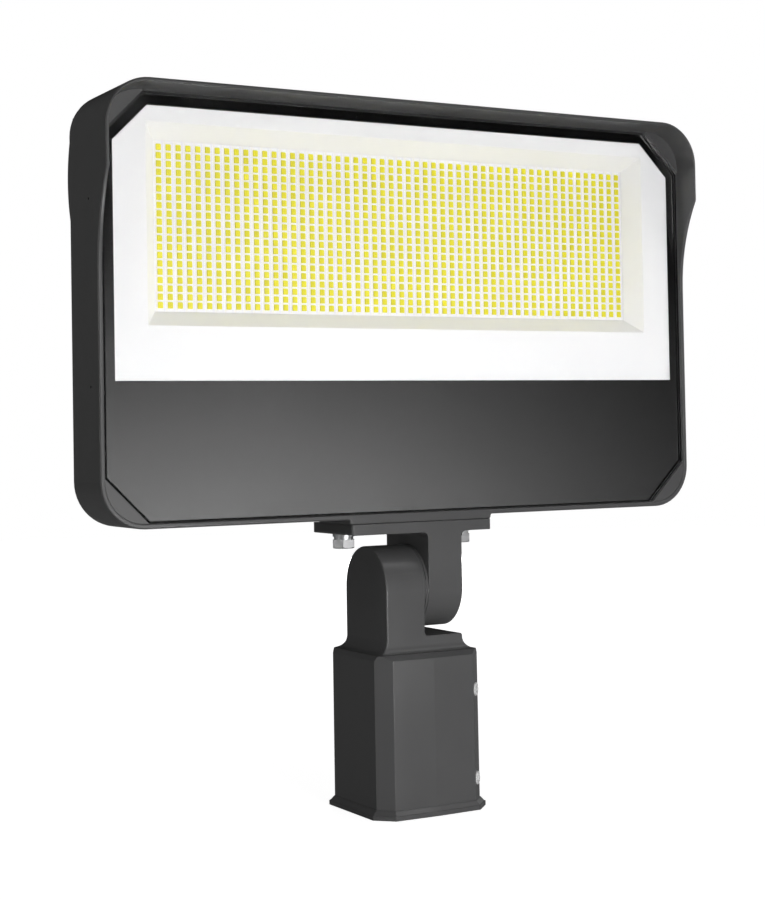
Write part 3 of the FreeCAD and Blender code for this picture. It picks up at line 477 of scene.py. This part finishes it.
@dataclass(frozen=True)
class LightBoardMask(Finish):
    """White solder mask with painted shade: faint lilac, beige and grey stripes beside the emitter columns
    and between the rows.
    """

    layout: EmitterLayout = field(default_factory=EmitterLayout)
    # colours and widths of the painted shade stripes that the emitters cast on the board
    lilac: Colour = (0.70, 0.68, 0.80)
    lilac_share: float = 0.5
    lilac_shift: float = -0.55 * MM
    lilac_half: float = 0.5 * MM
    beige: Colour = (0.82, 0.78, 0.66)
    beige_share: float = 0.6
    beige_shift: float = 0.95 * MM
    beige_half: float = 0.3 * MM
    upright_soft: float = 0.25 * MM
    grey: Colour = (0.66, 0.66, 0.66)
    grey_share: float = 0.45
    grey_half: float = 0.14 * MM
    level_soft: float = 0.12 * MM

    def wire(self, wiring: Wiring, shader: bpy.types.Node) -> None:
        """Paints the shade of the emitters as stripes beside the columns and between the rows.

        Args:
            wiring: the material's nodes.
            shader: its surface shader.
        """
        place = wiring.node("ShaderNodeSeparateXYZ")
        wiring.feed(place.inputs[0], wiring.node("ShaderNodeTexCoord").outputs["Object"])
        lay = self.layout
        ruled = SharedEffects.ruled_lines()
        beside = lay.first_x + lay.pitch_x / 2
        lilac = wiring.group(ruled, Place=place.outputs["X"], Pitch=lay.pitch_x,
                             First=beside + self.lilac_shift, Half_width=self.lilac_half,
                             Soft_edge=self.upright_soft)
        beige = wiring.group(ruled, Place=place.outputs["X"], Pitch=lay.pitch_x,
                             First=beside + self.beige_shift, Half_width=self.beige_half,
                             Soft_edge=self.upright_soft)
        grey = wiring.group(ruled, Place=place.outputs["Z"], Pitch=lay.pitch_z,
                            First=lay.first_z + lay.pitch_z / 2, Half_width=self.grey_half,
                            Soft_edge=self.level_soft)
        # the lilac, beige and grey stripes are painted shade from the emitters, not print on the board
        base: Any = rgba(self.colour)
        for lines, share, colour in ((lilac, self.lilac_share, self.lilac),
                                     (beige, self.beige_share, self.beige),
                                     (grey, self.grey_share, self.grey)):
            base = wiring.tint(wiring.calc("MULTIPLY", lines.outputs["Mask"], share), base, rgba(colour))
        wiring.feed(shader.inputs["Base Color"], base)


@dataclass(frozen=True)
class PhosphorCoat(Finish):
    """Yellow phosphor over four dies, which show as a faint cross."""

    layout: EmitterLayout = field(default_factory=EmitterLayout)
    cross: Colour = (0.63, 0.53, 0.005)
    cross_share: float = 0.45
    cross_half: float = 0.16 * MM
    cross_soft: float = 0.12 * MM
    grain: float = 0.3 * MM
    drift: float = 9 * MM
    dull: float = 0.95
    bright: float = 1.03

    def wire(self, wiring: Wiring, shader: bpy.types.Node) -> None:
        """Draws the faint cross on each emitter and a slow drift over the field.

        Args:
            wiring: the material's nodes.
            shader: its surface shader.
        """
        place = wiring.node("ShaderNodeSeparateXYZ")
        wiring.feed(place.inputs[0], wiring.node("ShaderNodeTexCoord").outputs["Object"])
        lay = self.layout
        ruled = SharedEffects.ruled_lines()
        upright = wiring.group(ruled, Place=place.outputs["X"], Pitch=lay.pitch_x, First=lay.first_x,
                               Half_width=self.cross_half, Soft_edge=self.cross_soft)
        level = wiring.group(ruled, Place=place.outputs["Z"], Pitch=lay.pitch_z, First=lay.first_z,
                             Half_width=self.cross_half, Soft_edge=self.cross_soft)
        grain = wiring.group(SharedEffects.surface_grain(), Grain_size=self.grain, Drift_size=self.drift)
        base = wiring.tint(grain.outputs["Drift"], rgba(self.colour, self.dull),
                           rgba(self.colour, self.bright))
        either = wiring.calc("MAXIMUM", upright.outputs["Mask"], level.outputs["Mask"])
        wiring.feed(shader.inputs["Base Color"],
                    wiring.tint(wiring.calc("MULTIPLY", either, self.cross_share), base, rgba(self.cross)))


POWDER_COAT = GrainedFinish("powder_coat_dark_grey", (0.117, 0.117, 0.118), 0.33, edge=0.7 * MM)
ZINC = BareMetal("bright_zinc", (0.80, 0.80, 0.81), 0.4)
# a real matt zinc flake coat, but its near-white colour is partly painted reflection, standing in for the
# bright light that the set screws mirror
ZINC_FLAKE_PAINTED_SHEEN = GrainedFinish("matt_zinc_flake_painted_sheen", (0.9, 0.9, 0.9), 0.45, grain=0.4 * MM, edge=0.15 * MM)
EXTRUSION = BareMetal("plain_extrusion", (0.66, 0.67, 0.68), 0.38, line=0.25 * MM, stretch=60.0)
GLASS = PaneGlass("clear_pane", (1.0, 1.0, 1.0), 0.012)
ENAMEL = GlossPrint("black_enamel_print", (0.0005, 0.0005, 0.0005), 0.08)
SILICONE = GrainedFinish("black_silicone_seal", (0.02, 0.02, 0.02), 0.6, grain=0.8 * MM)
REFLECTOR = GrainedFinish("white_reflector_coat", (0.868, 0.868, 0.872), 0.42, grain=0.7 * MM,
                          depth=0.004 * MM, tone_spread=0.01)
BOARD = LightBoardMask("white_solder_mask", (0.87, 0.875, 0.93), 0.35)
PHOSPHOR = PhosphorCoat("yellow_phosphor", (0.715, 0.655, 0.006), 0.45)
PAD = GrainedFinish("grey_thermal_pad", (0.45, 0.47, 0.5), 0.8, grain=1.2 * MM)
BLACK_NYLON = GrainedFinish("black_nylon", (0.025, 0.025, 0.027), 0.45, grain=0.9 * MM)
WHITE_NYLON = GrainedFinish("white_nylon", (0.8, 0.8, 0.77), 0.45, grain=0.9 * MM)
INSULATION = GrainedFinish("lead_insulation", (0.06, 0.06, 0.065), 0.5, grain=0.6 * MM)


class SubAssembly:
    """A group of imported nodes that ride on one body, with the finish of each."""

    body: Body = Body.HEAD
    finishes: dict[str, Finish]

    def dress(self) -> None:
        """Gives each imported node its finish."""
        for node, finish in self.finishes.items():
            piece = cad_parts[node]
            material = finish.material()
            if not piece.material_slots:
                piece.data.materials.append(material)
            for place in piece.material_slots:
                place.material = material
            LOG.info("%s on the %s: %s", node, self.body.value, finish.name)

    def build(self) -> list[bpy.types.Object]:
        """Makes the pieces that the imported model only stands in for.

        Returns:
            The new pieces.
        """
        return []


@dataclass
class Slipfitter(SubAssembly):
    """Pole socket with its set screws and the pivot's fixings."""

    body: Body = Body.SLIPFITTER
    finishes: dict[str, Finish] = field(default_factory=lambda: {
        "slipfitter_body": POWDER_COAT, "set_screws": ZINC_FLAKE_PAINTED_SHEEN, "pivot_bolt": ZINC, "pivot_washer": ZINC,
        "pivot_lock_washer": ZINC})


@dataclass
class Arm(SubAssembly):
    """Arm between knuckle and head, with the bolts of its flange."""

    finishes: dict[str, Finish] = field(default_factory=lambda: {
        "knuckle_arm": POWDER_COAT, "flange_bolts": ZINC, "flange_washers": ZINC,
        "flange_lock_washers": ZINC})


@dataclass
class Housing(SubAssembly):
    """Hooded casting with its breather and cable gland."""

    finishes: dict[str, Finish] = field(default_factory=lambda: {
        "housing": POWDER_COAT, "breather_vent": BLACK_NYLON, "supply_gland": BLACK_NYLON,
        "gland_nut": BLACK_NYLON, "gland_seal": SILICONE, "gland_locknut": BLACK_NYLON})


@dataclass
class Pane(SubAssembly):
    """Glass with its printed border and the seal behind."""

    finishes: dict[str, Finish] = field(default_factory=lambda: {
        "lens_glass": GLASS, "glass_print": ENAMEL, "lens_seal": SILICONE})


@dataclass
class DriverBay(SubAssembly):
    """Driver, leads and terminal block behind the printed lower part of the pane."""

    finishes: dict[str, Finish] = field(default_factory=lambda: {
        "driver_case": EXTRUSION, "driver_end_caps": BLACK_NYLON, "driver_screws": ZINC,
        "driver_leads": INSULATION, "led_leads": INSULATION, "terminal_block": WHITE_NYLON})


@dataclass
class LightEngine(SubAssembly):
    """Reflector, light board and emitters."""

    layout: EmitterLayout = field(default_factory=EmitterLayout)
    corner: float = 0.12 * MM
    nick: float = 0.45 * MM
    crown: float = 0.12 * MM
    crown_share: float = 0.88
    weld: float = 0.001 * MM
    finishes: dict[str, Finish] = field(default_factory=lambda: {
        "reflector": REFLECTOR, "reflector_screws": ZINC, "led_board": BOARD, "thermal_pad": PAD,
        "board_screws": ZINC, "board_connector": WHITE_NYLON, "led_emitters": PHOSPHOR})

    def _emitter_tree(self) -> bpy.types.NodeTree:
        """Builds the node tree that sets one emitter at every place of the field.

        Returns:
            The tree, with its sizes as named inputs.
        """
        tree = bpy.data.node_groups.new("emitter_field", "GeometryNodeTree")
        tree.interface.new_socket("Geometry", in_out="OUTPUT", socket_type="NodeSocketGeometry")
        kinds = {"Columns": "Int", "Rows": "Int", "Span X": "Float", "Span Z": "Float", "Width": "Float",
                 "Height": "Float", "Thickness": "Float", "Corner": "Float", "Nick": "Float",
                 "Crown": "Float", "Crown share": "Float", "Middle": "Vector", "Finish": "Material"}
        for name, kind in kinds.items():
            tree.interface.new_socket(name, in_out="INPUT", socket_type=f"NodeSocket{kind}")
        wiring = Wiring(tree)
        given = wiring.node("NodeGroupInput").outputs

        field_grid = wiring.node("GeometryNodeMeshGrid")
        for socket, name in (("Size X", "Span X"), ("Size Y", "Span Z"), ("Vertices X", "Columns"),
                             ("Vertices Y", "Rows")):
            wiring.feed(field_grid.inputs[socket], given[name])

        outline = wiring.node("GeometryNodeCurvePrimitiveQuadrilateral")
        wiring.feed(outline.inputs["Width"], given["Width"])
        wiring.feed(outline.inputs["Height"], given["Height"])
        first = wiring.node("FunctionNodeCompare", data_type="INT", operation="EQUAL")
        wiring.feed(first.inputs[2], wiring.node("GeometryNodeInputIndex").outputs[0])
        first.inputs[3].default_value = 0
        radius = wiring.node("GeometryNodeSwitch", input_type="FLOAT")
        wiring.feed(radius.inputs["Switch"], first.outputs[0])
        wiring.feed(radius.inputs["False"], given["Corner"])
        wiring.feed(radius.inputs["True"], given["Nick"])
        rounded = wiring.node("GeometryNodeFilletCurve", mode="POLY")
        wiring.feed(rounded.inputs["Curve"], outline.outputs["Curve"])
        wiring.feed(rounded.inputs["Radius"], radius.outputs[0])
        rounded.inputs["Count"].default_value = 1
        rounded.inputs["Limit Radius"].default_value = True
        face = wiring.node("GeometryNodeFillCurve", mode="NGONS")
        wiring.feed(face.inputs["Curve"], rounded.outputs["Curve"])

        wall = wiring.node("GeometryNodeExtrudeMesh", mode="FACES")
        wiring.feed(wall.inputs["Mesh"], face.outputs["Mesh"])
        wiring.feed(wall.inputs["Offset Scale"],
                    wiring.calc("SUBTRACT", given["Thickness"], given["Crown"]))
        top = wiring.node("GeometryNodeExtrudeMesh", mode="FACES")
        wiring.feed(top.inputs["Mesh"], wall.outputs["Mesh"])
        wiring.feed(top.inputs["Selection"], wall.outputs["Top"])
        wiring.feed(top.inputs["Offset Scale"], given["Crown"])
        drawn_in = wiring.node("GeometryNodeScaleElements", domain="FACE")
        wiring.feed(drawn_in.inputs["Geometry"], top.outputs["Mesh"])
        wiring.feed(drawn_in.inputs["Selection"], top.outputs["Top"])
        wiring.feed(drawn_in.inputs["Scale"], given["Crown share"])
        foot = wiring.node("GeometryNodeFlipFaces")
        wiring.feed(foot.inputs["Mesh"], face.outputs["Mesh"])
        both = wiring.node("GeometryNodeJoinGeometry")
        wiring.feed(both.inputs[0], drawn_in.outputs["Geometry"])
        wiring.feed(both.inputs[0], foot.outputs["Mesh"])
        closed = wiring.node("GeometryNodeMergeByDistance")
        wiring.feed(closed.inputs["Geometry"], both.outputs[0])
        closed.inputs["Distance"].default_value = self.weld

        placed = wiring.node("GeometryNodeInstanceOnPoints")
        wiring.feed(placed.inputs["Points"], field_grid.outputs["Mesh"])
        wiring.feed(placed.inputs["Instance"], closed.outputs["Geometry"])
        real = wiring.node("GeometryNodeRealizeInstances")
        wiring.feed(real.inputs["Geometry"], placed.outputs["Instances"])
        upright = wiring.node("GeometryNodeTransform")
        wiring.feed(upright.inputs["Geometry"], real.outputs["Geometry"])
        upright.inputs["Rotation"].default_value = (math.pi / 2, 0.0, 0.0)
        wiring.feed(upright.inputs["Translation"], given["Middle"])
        coated = wiring.node("GeometryNodeSetMaterial")
        wiring.feed(coated.inputs["Geometry"], upright.outputs["Geometry"])
        wiring.feed(coated.inputs["Material"], given["Finish"])
        wiring.feed(wiring.node("NodeGroupOutput").inputs[0], coated.outputs["Geometry"])
        return tree

    def build(self) -> list[bpy.types.Object]:
        """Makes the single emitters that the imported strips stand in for.

        Returns:
            The field of emitters as one piece.
        """
        lay = self.layout
        middle = Vector((lay.middle.x, lay.box[1].y, lay.middle.z))
        sizes = {"Columns": lay.columns, "Rows": lay.rows, "Span X": (lay.columns - 1) * lay.pitch_x,
                 "Span Z": (lay.rows - 1) * lay.pitch_z, "Width": lay.width, "Height": lay.height,
                 "Thickness": lay.thickness, "Corner": self.corner, "Nick": self.nick, "Crown": self.crown,
                 "Crown share": self.crown_share, "Middle": middle, "Finish": PHOSPHOR.material()}
        emitters = grow("emitters", self._emitter_tree(), sizes)
        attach(emitters, Body.HEAD.value)
        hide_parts("led_emitters")
        return [emitters]


def grow(name: str, tree: bpy.types.NodeTree, sizes: dict[str, Any]) -> bpy.types.Object:
    """Runs a geometry node tree and keeps its result as a plain mesh.

    Args:
        name: name of the finished piece.
        tree: the node tree.
        sizes: its inputs by name.

    Returns:
        The finished piece, in place.
    """
    carrier = bpy.data.objects.new(name + "_carrier", bpy.data.meshes.new(name + "_carrier"))
    bpy.context.scene.collection.objects.link(carrier)
    modifier = carrier.modifiers.new(name, "NODES")
    modifier.node_group = tree
    for item in tree.interface.items_tree:
        if item.item_type == "SOCKET" and item.in_out == "INPUT":
            modifier[item.identifier] = sizes[item.name]
    ready = carrier.evaluated_get(bpy.context.evaluated_depsgraph_get())
    mesh = bpy.data.meshes.new_from_object(ready)
    mesh.name = name
    carrier.modifiers.clear()
    bpy.data.objects.remove(carrier)
    piece = bpy.data.objects.new(name, mesh)
    bpy.context.scene.collection.objects.link(piece)
    return piece


@dataclass
class Lamp:
    """One soft lamp of the studio, in metres and watts."""

    name: str
    place: Place
    size: tuple[float, float]
    power: float
    aim: Place = (0.0, 0.0, 0.28)
    highlights: bool = True

    def build(self) -> None:
        """Hangs the lamp and turns it to the object."""
        light = bpy.data.lights.new(self.name, "AREA")
        light.shape = "RECTANGLE"
        light.size, light.size_y = self.size
        light.energy = self.power
        light.cycles.use_multiple_importance_sampling = False  # keeps its image out of the pane
        lamp = bpy.data.objects.new(self.name, light)
        lamp.location = self.place
        lamp.visible_camera = False
        lamp.visible_glossy = self.highlights
        lamp.rotation_euler = (Vector(self.aim) - Vector(self.place)).to_track_quat("-Z", "Y").to_euler()
        bpy.context.scene.collection.objects.link(lamp)


@dataclass
class Studio:
    """Pale floor, soft lamps and a white backdrop.

    The spans are readings of a direction's X, Y or Z between which the light of the room changes.
    Strengths are in parts of white, angles in degrees.
    """

    floor_radius: float = 3.0
    floor_colour: Colour = (0.5, 0.5, 0.5)
    floor_in_pane: Colour = (0.02, 0.02, 0.02)
    floor_lift: float = 0.92
    floor_near: float = 0.15
    floor_far: float = 0.6
    floor_drop: float = 0.3 * MM
    floor_segments: int = 128
    backdrop: float = 0.045
    backdrop_span: tuple[float, float] = (-0.15, 0.45)
    mirrored_left: float = 0.08
    mirrored_middle: float = 0.012
    mirrored_right: float = 1.0
    middle_span: tuple[float, float] = (-0.2, 0.3)
    right_span: tuple[float, float] = (0.78, 0.92)
    left_card: float = 0.15
    card_span: tuple[float, float] = (-0.75, -0.95)
    ceiling: float = 0.02
    ceiling_span: tuple[float, float] = (0.35, 0.95)
    room: float = 0.01
    glow: float = 1.97
    glow_turn: float = 24.5
    glow_rise: float = -11.7
    glow_spread: float = 7.7
    glow_span: tuple[float, float] = (0.035, 0.14)
    lamps: tuple[Lamp, ...] = (
        Lamp("front_lamp", (0.0, -2.0, 0.5), (0.7, 0.5), 8.2),
        Lamp("low_lamp", (-0.02, -0.54, 0.05), (0.26, 0.08), 1.0),
        Lamp("right_lamp", (1.7, -0.9, 0.4), (0.6, 0.6), 3.0),
        Lamp("left_strip", (-1.5, -0.1, 0.5), (0.15, 0.8), 2.4),
        Lamp("back_lamp", (0.9, 2.0, 0.25), (0.7, 0.4), 26.0, highlights=False),
        Lamp("top_strip", (0.74, -0.45, 1.36), (0.6, 0.06), 1.2, aim=(0.0, 0.0, 0.14)),
    )

    def build(self) -> None:
        """Sets up floor, backdrop and lamps."""
        self._floor()
        self._surroundings()
        for lamp in self.lamps:
            lamp.build()
        bpy.context.scene.view_settings.view_transform = "Standard"

    def _floor(self) -> None:
        """Makes the round floor under the mouth of the socket."""
        mesh = bpy.data.meshes.new("floor")
        shape = bmesh.new()
        bmesh.ops.create_circle(shape, cap_ends=True, segments=self.floor_segments,
                                radius=self.floor_radius,
                                matrix=Matrix.Translation((0.0, 0.0, -self.floor_drop)))
        shape.to_mesh(mesh)
        shape.free()
        floor = bpy.data.objects.new("floor", mesh)
        bpy.context.scene.collection.objects.link(floor)
        material = bpy.data.materials.new("pale_floor")
        material.use_nodes = True
        wiring = Wiring(material.node_tree)
        shader = wiring.tree.nodes["Principled BSDF"]
        path = wiring.node("ShaderNodeLightPath").outputs
        wiring.feed(shader.inputs["Base Color"],
                    wiring.tint(path["Is Transmission Ray"], rgba(self.floor_colour),
                                rgba(self.floor_in_pane)))
        shader.inputs["Roughness"].default_value = 1.0
        shader.inputs["Specular IOR Level"].default_value = 0.0
        lift = wiring.node("ShaderNodeEmission")
        out = wiring.node("ShaderNodeVectorMath", operation="LENGTH")
        wiring.feed(out.inputs[0], wiring.node("ShaderNodeTexCoord").outputs["Object"])
        white = wiring.ramp(out.outputs["Value"], self.floor_near, self.floor_far, self.floor_lift, 1.0)
        wiring.feed(lift.inputs["Strength"], wiring.calc("MULTIPLY", path["Is Camera Ray"], white))
        both = wiring.node("ShaderNodeAddShader")
        wiring.feed(both.inputs[0], shader.outputs["BSDF"])
        wiring.feed(both.inputs[1], lift.outputs["Emission"])
        wiring.feed(wiring.tree.nodes["Material Output"].inputs["Surface"], both.outputs["Shader"])
        mesh.materials.append(material)

    def _surroundings(self) -> None:
        """Makes a backdrop that is white to the eye, a dim room in front and the glow the pane mirrors."""
        world = bpy.data.worlds.new("studio")
        bpy.context.scene.world = world
        world.use_nodes = True
        wiring = Wiring(world.node_tree)
        towards = wiring.node("ShaderNodeTexCoord").outputs["Generated"]
        axes = wiring.node("ShaderNodeSeparateXYZ")
        wiring.feed(axes.inputs[0], towards)
        path = wiring.node("ShaderNodeLightPath").outputs
        mirrored = wiring.calc("MAXIMUM", path["Is Glossy Ray"], path["Is Transmission Ray"])
        left_half = wiring.ramp(axes.outputs["X"], *self.middle_span, self.mirrored_left,
                                self.mirrored_middle)
        sides = wiring.ramp(axes.outputs["X"], *self.right_span, left_half, self.mirrored_right)
        drop = wiring.ramp(mirrored, 0.0, 1.0, self.backdrop, sides)
        behind = wiring.ramp(axes.outputs["Y"], *self.backdrop_span, self.room, drop)
        card = wiring.ramp(axes.outputs["X"], *self.card_span, 0.0, self.left_card)
        overhead = wiring.ramp(axes.outputs["Z"], *self.ceiling_span, 0.0, self.ceiling)
        above = wiring.calc("ADD", overhead, wiring.calc("MULTIPLY", card, mirrored))
        turn, rise = math.radians(self.glow_turn), math.radians(self.glow_rise)
        aim = wiring.node("ShaderNodeVectorMath", operation="DOT_PRODUCT")
        wiring.feed(aim.inputs[0], towards)
        aim.inputs[1].default_value = (math.sin(turn) * math.cos(rise), -math.cos(turn) * math.cos(rise),
                                       math.sin(rise))
        away = wiring.calc("SUBTRACT", aim.outputs["Value"], 1.0)
        fall = wiring.calc("EXPONENT", wiring.calc("DIVIDE", away, math.radians(self.glow_spread) ** 2))
        low = wiring.ramp(axes.outputs["Z"], *self.glow_span, self.glow, 0.0)
        pool = wiring.calc("MULTIPLY", wiring.calc("MULTIPLY", fall, low), path["Is Transmission Ray"])
        light = wiring.calc("ADD", wiring.calc("ADD", behind, above), pool)
        strength = wiring.node("ShaderNodeMix", data_type="FLOAT")
        wiring.feed(strength.inputs[0], path["Is Camera Ray"])
        wiring.feed(strength.inputs[2], light)
        strength.inputs[3].default_value = 1.0
        shade = wiring.tree.nodes["Background"]
        shade.inputs["Color"].default_value = (1.0, 1.0, 1.0, 1.0)
        wiring.feed(shade.inputs["Strength"], strength.outputs[0])


@dataclass
class PhotoCamera:
    """Camera at the place and turn from which the picture was taken."""

    place: Place = (-0.55903, -0.96578, 0.2350)
    turn: float = -29.51
    rise: float = -1.54
    roll: float = -1.02
    focal_px: float = 1768.35
    picture: tuple[int, int] = (765, 900)
    principal: tuple[float, float] = (382.5, 382.51)
    sensor_mm: float = 36.0
    nearest: float = 0.05

    def build(self) -> None:
        """Places the camera and makes it the scene's own."""
        a, e, r = (math.radians(x) for x in (self.turn, self.rise, self.roll))
        back = Vector((math.sin(a) * math.cos(e), -math.cos(a) * math.cos(e), math.sin(e)))
        level = Vector((math.cos(a), math.sin(a), 0.0))
        up = back.cross(level)
        right = level * math.cos(r) + up * math.sin(r)
        top = up * math.cos(r) - level * math.sin(r)
        lens = bpy.data.cameras.new("photo_camera")
        long_side = max(self.picture)
        lens.sensor_width = self.sensor_mm
        lens.lens = self.sensor_mm * self.focal_px / long_side
        lens.shift_x = (self.picture[0] / 2 - self.principal[0]) / long_side
        lens.shift_y = (self.principal[1] - self.picture[1] / 2) / long_side
        lens.clip_start = self.nearest
        camera = bpy.data.objects.new("photo_camera", lens)
        turned = Matrix((right, top, back)).transposed().to_4x4()
        camera.matrix_world = Matrix.Translation(self.place) @ turned
        bpy.context.scene.collection.objects.link(camera)
        bpy.context.scene.camera = camera


def main() -> None:
    """Builds and dresses each sub-assembly, then the studio and the camera."""
    logging.basicConfig(level=logging.INFO, format="%(name)s %(message)s")
    PhotoCamera().build()
    for assembly in (Slipfitter(), Arm(), Housing(), Pane(), LightEngine(), DriverBay()):
        assembly.dress()
        for piece in assembly.build():
            LOG.info("%s: %d faces", piece.name, len(piece.data.polygons))
    Studio().build()


if __name__ == "__main__":
    main()
